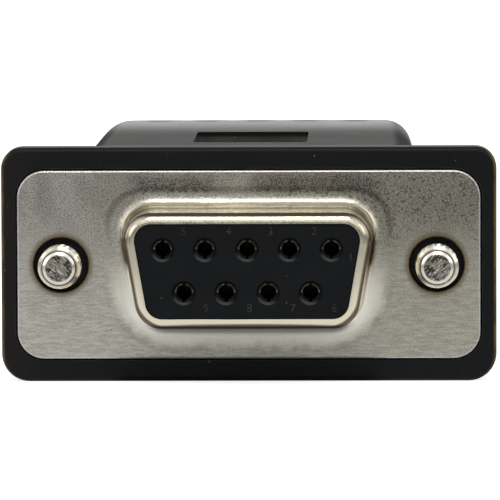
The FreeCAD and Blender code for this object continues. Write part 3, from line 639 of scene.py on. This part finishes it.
def rubbed_numeral():
    """The raised numbers, whose faces are rubbed a little greyer than the insulator round them."""
    finish = Finish("rubbed_numeral")
    worn = finish.noise(0.25, detail=4.0, roughness=0.7, shift=2.0).step(0.35, 0.65)
    grain = finish.noise(0.06, detail=2.0, shift=5.0)
    moulded_tone = (0.006, 0.007, 0.009)
    worn_grey = (0.035, 0.037, 0.04)
    base = finish.mix(worn, moulded_tone, worn_grey)
    rough = 0.45 - worn * 0.1
    normal = finish.bump(grain, 0.006, 0.8)
    return finish.surface(Base_Color=base, Roughness=rough, Normal=normal, Specular_IOR_Level=0.3)


def contact_gold():
    """Gold flash on the contacts: painted black shade down the bore and round the mouth, all but
    the down-facing arcs, which stay bright as painted highlights.
    """
    finish = Finish("contact_gold")
    cloud = finish.noise(0.5, detail=4.0)
    marks = finish.noise(0.06, detail=2.0, scale=(0.2, 1.0, 0.2), shift=4.0)
    y = finish.split(finish.place())[1]
    down_bore = y.step(FACE + 0.6, FACE + 0.7)
    facing_x, facing_y, facing_z = finish.split(finish.normal())
    mouth = facing_z.step(0.05, -0.2) * facing_x.size().step(0.15, 0.35)
    mouth = mouth * facing_y.size().step(0.98, 0.85)
    in_socket = y.step(0.5, -0.5)
    # Painted shade: black and not metal down the bore and round the mouth, but for the down-facing
    # arcs left bright as painted highlights
    in_painted_shade = (down_bore + 1 - mouth).at_most(1.0) * in_socket

    dull_gold = (0.75, 0.66, 0.45)
    bright_gold = (0.95, 0.9, 0.75)
    bore_shade_black = (0.004, 0.003, 0.002)
    base = finish.mix(cloud, dull_gold, bright_gold)
    base = finish.mix(in_painted_shade, base, bore_shade_black)
    rough = 0.24 + cloud * 0.15 + in_painted_shade * 0.6
    normal = finish.bump(marks, 0.005, 0.6)
    return finish.surface(Base_Color=base, Metallic=1 - in_painted_shade, Roughness=rough, Normal=normal)


def bright_nickel():
    """Turned and plated screw: turning marks, brown streaks on the tip, grime in the roots and
    painted shade where it runs back into the hole.
    """
    finish = Finish("bright_nickel")
    x, y, z = finish.split(finish.place())
    x = x.size() - SCREW_AXIS
    radius = length(x, z)
    tip_radius = TIP_RADIUS / MM
    on_tip = y.step(TIP + 0.1, TIP + 0.06) * radius.step(tip_radius + 0.03, tip_radius - 0.05)
    slanted = finish.join((x + z) * 0.5, y, (z - x) * 1.9)
    streaks = finish.noise(0.24, detail=4.0, roughness=0.75, point=slanted)
    cloud = finish.noise(0.6, detail=4.0, shift=5.0)
    turning = finish.noise(0.05, detail=1.0, scale=(0.15, 1.0, 0.15), shift=8.0)
    rubbed = finish.noise(0.45, detail=2.0, shift=13.0).step(0.45, 0.6)
    first_groove = radius.band(1.1, 0.04, 0.1) * y.step(TIP + 0.1, TIP + 0.16)
    roots = radius.step(1.3, 1.12) * radius.step(1.08, 1.12)
    grime = first_groove.at_least(roots) * cloud.step(0.2, 0.45)
    gold_arcs = radius.band(1.3, 0.03, 0.12) * cloud.step(0.5, 0.65)
    in_hole_shade = y.step(-1.6, -0.4)

    warm_nickel = (0.8, 0.76, 0.67)
    pale_nickel = (0.95, 0.92, 0.84)
    grime_brown = (0.08, 0.06, 0.04)
    streak_brown = (0.04, 0.028, 0.024)
    gold_tint = (0.85, 0.62, 0.28)
    hole_shade_grey = (0.12, 0.1, 0.08)
    base = finish.mix(cloud, warm_nickel, pale_nickel)
    base = finish.mix(grime * 0.92, base, grime_brown)
    streaked = on_tip * streaks.step(0.36, 0.48) * (0.97 - rubbed * 0.25)
    base = finish.mix(streaked, base, streak_brown)
    base = finish.tint(gold_arcs * 0.7, base, gold_tint)
    # Painted shade on the screw from just in front of the plate back into the hole
    base = finish.mix(in_hole_shade * 0.7, base, hole_shade_grey)
    rough = 0.14 + cloud * 0.1 + grime * 0.3 + on_tip * 0.16
    normal = finish.bump(turning, 0.004, 0.5)
    normal = finish.bump(streaks * on_tip, 0.05, 0.8, normal)
    return finish.surface(Base_Color=base, Metallic=1.0, Roughness=rough, Normal=normal)


def plain_metal(name, low, high, roughness, marks):
    """A small plated part: cloudy colour, fine drawing marks and a duller film in patches."""
    finish = Finish(name)
    cloud = finish.noise(0.8, detail=4.0)
    fine = finish.noise(0.06, detail=2.0, scale=marks, shift=4.0)
    film = finish.noise(1.6, detail=3.0, shift=8.0).step(0.45, 0.7)
    base = finish.mix(cloud, low, high)
    film_tint = (0.6, 0.55, 0.48)
    base = finish.tint(film * 0.35, base, film_tint)
    rough = roughness + film * 0.15
    normal = finish.bump(fine, 0.005, 0.6)
    return finish.surface(Base_Color=base, Metallic=1.0, Roughness=rough, Normal=normal)


def board_green():
    """The board: green lacquer over tracks that show a little lighter and stand a little proud."""
    finish = Finish("board_green")
    across = finish.split(finish.place())[0] * (1 / BOARD_TRACK_PITCH)
    track = 1 - across.remainder().band(0.5, 0.2, 0.26)
    weave = finish.noise(0.25, detail=3.0)
    lacquer_green = (0.012, 0.085, 0.035)
    track_green = (0.03, 0.15, 0.06)
    weave_tint = (0.6, 0.75, 0.6)
    base = finish.mix(track * 0.6, lacquer_green, track_green)
    base = finish.tint(weave * 0.5, base, weave_tint)
    rough = 0.28 + weave * 0.1
    normal = finish.bump(track + weave * 0.3, 0.03, 0.6)
    return finish.surface(Base_Color=base, Roughness=rough, Normal=normal, Coat_Weight=0.3)


def new_object(name, mesh, material):
    """An object of the scene from mesh code, with one finish."""
    data = bpy.data.meshes.new(name)
    mesh.to_mesh(data)
    mesh.free()
    data.materials.append(material)
    made = bpy.data.objects.new(name, data)
    scene.collection.objects.link(made)
    return made


def finished_mesh(piece):
    """The mesh that a piece's modifiers or its text give."""
    bpy.context.view_layer.update()
    graph = bpy.context.evaluated_depsgraph_get()
    return bpy.data.meshes.new_from_object(piece.evaluated_get(graph))


def settle(piece):
    """Turns a piece's modifiers into its mesh, with sharp edges kept sharp."""
    made = finished_mesh(piece)
    piece.modifiers.clear()
    piece.data = made
    piece.data.shade_smooth()
    piece.data.set_sharp_from_angle(angle=SHARP_ANGLE)


def ring(mesh, y, radii, centre_x):
    """A loop of points round the screw's axis, one for each radius."""
    loop = []
    for index, radius in enumerate(radii):
        turn = 2 * math.pi * index / len(radii)
        point = (centre_x + radius * math.cos(turn), y, radius * math.sin(turn))
        loop.append(mesh.verts.new(point))
    return loop


def join_rings(mesh, first, second):
    """Faces between two loops of points."""
    count = len(first)
    for index in range(count):
        after = (index + 1) % count
        mesh.faces.new((first[index], first[after], second[after], second[index]))


def thread_radius(y, turn):
    """The radius of the threaded end: a V thread that runs out on the chamfered point."""
    from_tip = y - SCREW_TIP
    if from_tip < BEVEL_LENGTH:
        chamfer = TIP_RADIUS + (POINT_RADIUS - TIP_RADIUS) * from_tip / BEVEL_LENGTH
    else:
        climb = max(from_tip - POINT_STEP, 0.0) / (POINT_LENGTH - POINT_STEP)
        chamfer = POINT_RADIUS + (THREAD_RADIUS - POINT_RADIUS) * climb
    phase = (y / THREAD_PITCH - turn / (2 * math.pi)) % 1.0
    climb_up = (abs(2 * phase - 1) - ROOT_FLAT) / FLANK
    ridge = THREAD_ROOT + (THREAD_RADIUS - THREAD_ROOT) * min(max(climb_up, 0.0), 1.0)
    return min(chamfer, ridge)


def head_radius(y, turn):
    """The radius of the knurled head: chamfered ends and straight knurls between."""
    from_end = min(y - HEAD_START, SCREW_BACK - y)
    chamfered = HEAD_RADIUS - max(HEAD_CHAMFER - from_end, 0.0)
    knurl = KNURL_DEPTH * abs(math.sin(KNURLS * turn / 2)) ** KNURL_SHARPNESS
    fade = min(max(from_end / HEAD_CHAMFER - KNURL_START, 0.0), 1.0)
    return chamfered - (KNURL_DEPTH - knurl) * fade


def spread(low, high, step):
    """Evenly spaced places from low to high, both ends included."""
    count = max(1, round((high - low) / step))
    return [low + (high - low) * index / count for index in range(count + 1)]


def saw_slot(screw, centre_x, material):
    """Cuts the screwdriver slot across the screw's head."""
    mesh = bmesh.new()
    bmesh.ops.create_cube(mesh, size=1.0)
    for vert in mesh.verts:
        vert.co.x = centre_x + vert.co.x * 4 * HEAD_RADIUS
        vert.co.y = SCREW_BACK + vert.co.y * 2 * SLOT_DEPTH
        vert.co.z = vert.co.z * SLOT_WIDTH
    cutter = new_object("slot_cutter", mesh, material)
    cut = screw.modifiers.new("slot", "BOOLEAN")
    cut.operation = "DIFFERENCE"
    cut.solver = "EXACT"
    cut.object = cutter
    settle(screw)
    bpy.data.objects.remove(cutter)


def jackscrew(name, centre_x, material, seed):
    """A captive jackscrew with its helical thread, sawn point, undercut, neck and slotted head."""
    random.seed(seed)
    turns = [2 * math.pi * index / SCREW_SIDES for index in range(SCREW_SIDES)]
    sections = []
    for y in spread(SCREW_TIP, UNDERCUT_START, THREAD_STEP):
        sections.append((y, [thread_radius(y, turn) for turn in turns]))
    for y in (UNDERCUT_START + UNDERCUT_RUNOUT, NECK_START - NECK_RUNOUT):
        sections.append((y, [UNDERCUT_RADIUS] * SCREW_SIDES))
    for y in (NECK_START, HEAD_START - HEAD_RUNOUT):
        sections.append((y, [NECK_RADIUS] * SCREW_SIDES))
    for y in spread(HEAD_START, SCREW_BACK, HEAD_STEP):
        sections.append((y, [head_radius(y, turn) for turn in turns]))
    mesh = bmesh.new()
    rings = [ring(mesh, y, radii, centre_x) for y, radii in sections]
    for first, second in zip(rings, rings[1:]):
        join_rings(mesh, first, second)

    inner = rings[0]
    for share in TIP_SHARES:
        loop = ring(mesh, SCREW_TIP, [TIP_RADIUS * share] * SCREW_SIDES, centre_x)
        for vert in loop:
            across = vert.co.x - centre_x
            sawn = 0.5 + 0.5 * math.sin((across - vert.co.z) / SAW_MARK + seed)
            vert.co.y += SAW_DEPTH * sawn + SAW_CHATTER * random.random()
        join_rings(mesh, loop, inner)
        inner = loop
    mesh.faces.new(inner)
    mesh.faces.new(reversed(rings[-1]))
    bmesh.ops.recalc_face_normals(mesh, faces=mesh.faces)
    screw = new_object(name, mesh, material)
    saw_slot(screw, centre_x, material)
    return screw


def pin_number(number, x, z, material):
    """A small raised numeral on the socket's face."""
    curve = bpy.data.curves.new(f"numeral_{number}", "FONT")
    curve.body = str(number)
    curve.size = NUMBER_HEIGHT
    curve.extrude = NUMBER_RELIEF
    curve.align_x = "CENTER"
    curve.align_y = "CENTER"
    text = bpy.data.objects.new(f"pin_number_{number}", curve)
    scene.collection.objects.link(text)
    text.rotation_euler = (math.radians(90), 0, 0)
    text.location = (x, INSERT_FACE, z)
    data = finished_mesh(text)
    data.transform(text.matrix_world)
    data.materials.clear()
    data.materials.append(material)
    made = bpy.data.objects.new(f"raised_number_{number}", data)
    bpy.data.objects.remove(text)
    scene.collection.objects.link(made)
    return made


def pin_numbers(material):
    """Numbers 1 to 5 over the upper holes and 6 to 9 under the lower ones."""
    for number, (x, z) in NUMBER_PLACES.items():
        made = pin_number(number, x * MM, z * MM, material)
        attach(made, "adapter")


def turned_to(place, target):
    """The turn that points a lamp or camera from its place to a target."""
    return (Vector(target) - Vector(place)).to_track_quat("-Z", "Y").to_euler()


def lamp(name, place, size, power, tone):
    """A soft square light aimed at the socket."""
    data = bpy.data.lights.new(name, "AREA")
    data.size = size
    data.energy = power
    data.color = tone
    light = bpy.data.objects.new(name, data)
    light.location = place
    light.rotation_euler = turned_to(place, (0, 0, 0))
    scene.collection.objects.link(light)


def seen(rays):
    """1 where the camera looks, also through clear pieces, and 0 for every other ray."""
    return rays.part("Is Camera Ray").at_least(rays.part("Is Transmission Ray"))


def surroundings():
    """White all round for the camera, and a plain studio for everything else.

    In front it is brightest at middle heights, and behind it is brightest low down.
    """
    finish = Finish("studio", world=True)
    x, y, z = finish.split(finish.node("ShaderNodeTexCoord", output="Generated"))
    sides = x.size().step(0.25, 0.75)
    front = (z.step(0.05, 0.4) * 0.7 + sides * 0.1 + 0.22).at_most(0.95)
    front = front * (1 - z.step(0.7, 0.95) * 0.5)
    back = z.step(0.62, 0.45) * 0.6 + 0.4
    level = front + (back - front) * y.step(-0.1, 0.2)
    level = level + (1 - level) * seen(finish.node("ShaderNodeLightPath"))
    tone = finish.mix(level, BLACK, STUDIO_WHITE)
    scene.world = finish.end_with(finish.node("ShaderNodeBackground", inputs={"Color": tone}))


def floor():
    """A pale floor that shows white, keeps the object's shadow and shows dimmer in reflections,
    with a painted shadow round the object in them.
    """
    finish = Finish("pale_floor")
    rays = finish.node("ShaderNodeLightPath")
    mirrored = rays.part("Is Glossy Ray")
    x, y = finish.split(finish.place())[:2]
    away = length(x, y)
    clear_of_mirror_shadow = away.step(*MIRROR_SHADOW_EDGE)
    distant = away.step(*FAR_FLOOR)
    pale = finish.mix(finish.noise(3.0), FLOOR_DARK, FLOOR_LIGHT)
    pale = finish.mix(mirrored, pale, BLACK)
    matt = finish.node("ShaderNodeBsdfDiffuse", inputs={"Color": pale}, output="BSDF")
    # Painted shadow: the glow that reflections see is low within about 10 mm of the object
    in_mirror = clear_of_mirror_shadow * (1 - distant * 0.54) * 0.62 + 0.13
    level = seen(rays) * 0.72 + mirrored * in_mirror
    tone = finish.mix(level, BLACK, FLOOR_GLOW)
    glow = finish.node("ShaderNodeEmission", inputs={"Color": tone})
    paint = finish.end_with(finish.node("ShaderNodeAddShader", inputs={0: matt, 1: glow}))
    mesh = bmesh.new()
    bmesh.ops.create_grid(mesh, x_segments=8, y_segments=8, size=FLOOR_SIZE)
    ground = new_object("pale_floor", mesh, paint)
    ground.location.z = HOOD_LOW.z - FLOOR_GAP


def camera():
    """The photograph's viewpoint: a long lens a little above the socket's axis."""
    data = bpy.data.cameras.new("viewpoint")
    data.lens = CAMERA_LENS
    data.sensor_width = 36.0
    data.clip_start = 0.01
    data.clip_end = 50.0
    viewer = bpy.data.objects.new("viewpoint", data)
    viewer.location = CAMERA_PLACE
    viewer.rotation_euler = turned_to(CAMERA_PLACE, CAMERA_TARGET)
    viewer.rotation_euler.rotate_axis("Z", CAMERA_ROLL)
    scene.collection.objects.link(viewer)
    scene.camera = viewer


block_black = plain_black("block_black", (0.012, 0.012, 0.013), 0.45, 0.2)
washer_black = plain_black("washer_black", (0.016, 0.016, 0.017), 0.5, 0.1)
insulator = insulator_black()
screw_nickel = bright_nickel()
tin = plain_metal("tinned_strip", (0.52, 0.52, 0.5), (0.66, 0.66, 0.64), 0.34, (1.0, 0.2, 1.0))
zinc = plain_metal("zinc_steel", (0.5, 0.5, 0.5), (0.66, 0.67, 0.68), 0.3, (1.0, 1.0, 0.2))
dress(hood_black(), "hood")
dress(block_black, "terminal_block")
dress(washer_black, "retaining_washer_left", "retaining_washer_right")
dress(insulator, "front_insulator", "rear_insulator")
dress(nickel_plate(), "front_shell", "rear_shell")
dress(contact_gold(), *numbered("contact", 9))
dress(tin, *numbered("terminal_tongue", 5))
dress(zinc, *numbered("clamp_cage", 5), *numbered("terminal_screw", 5))
dress(board_green(), "circuit_board")

for side, centre_x, seed in (("left", -SCREW_X, 3), ("right", SCREW_X, 8)):
    piece = jackscrew(f"threaded_jackscrew_{side}", centre_x, screw_nickel, seed)
    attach(piece, f"jack_{side}")
    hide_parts(f"jackscrew_{side}")

pin_numbers(rubbed_numeral())

surroundings()
floor()
for name, (place, size, power, tone) in LAMPS.items():
    lamp(name, place, size, power, tone)
camera()

scene.view_settings.view_transform = "Standard"
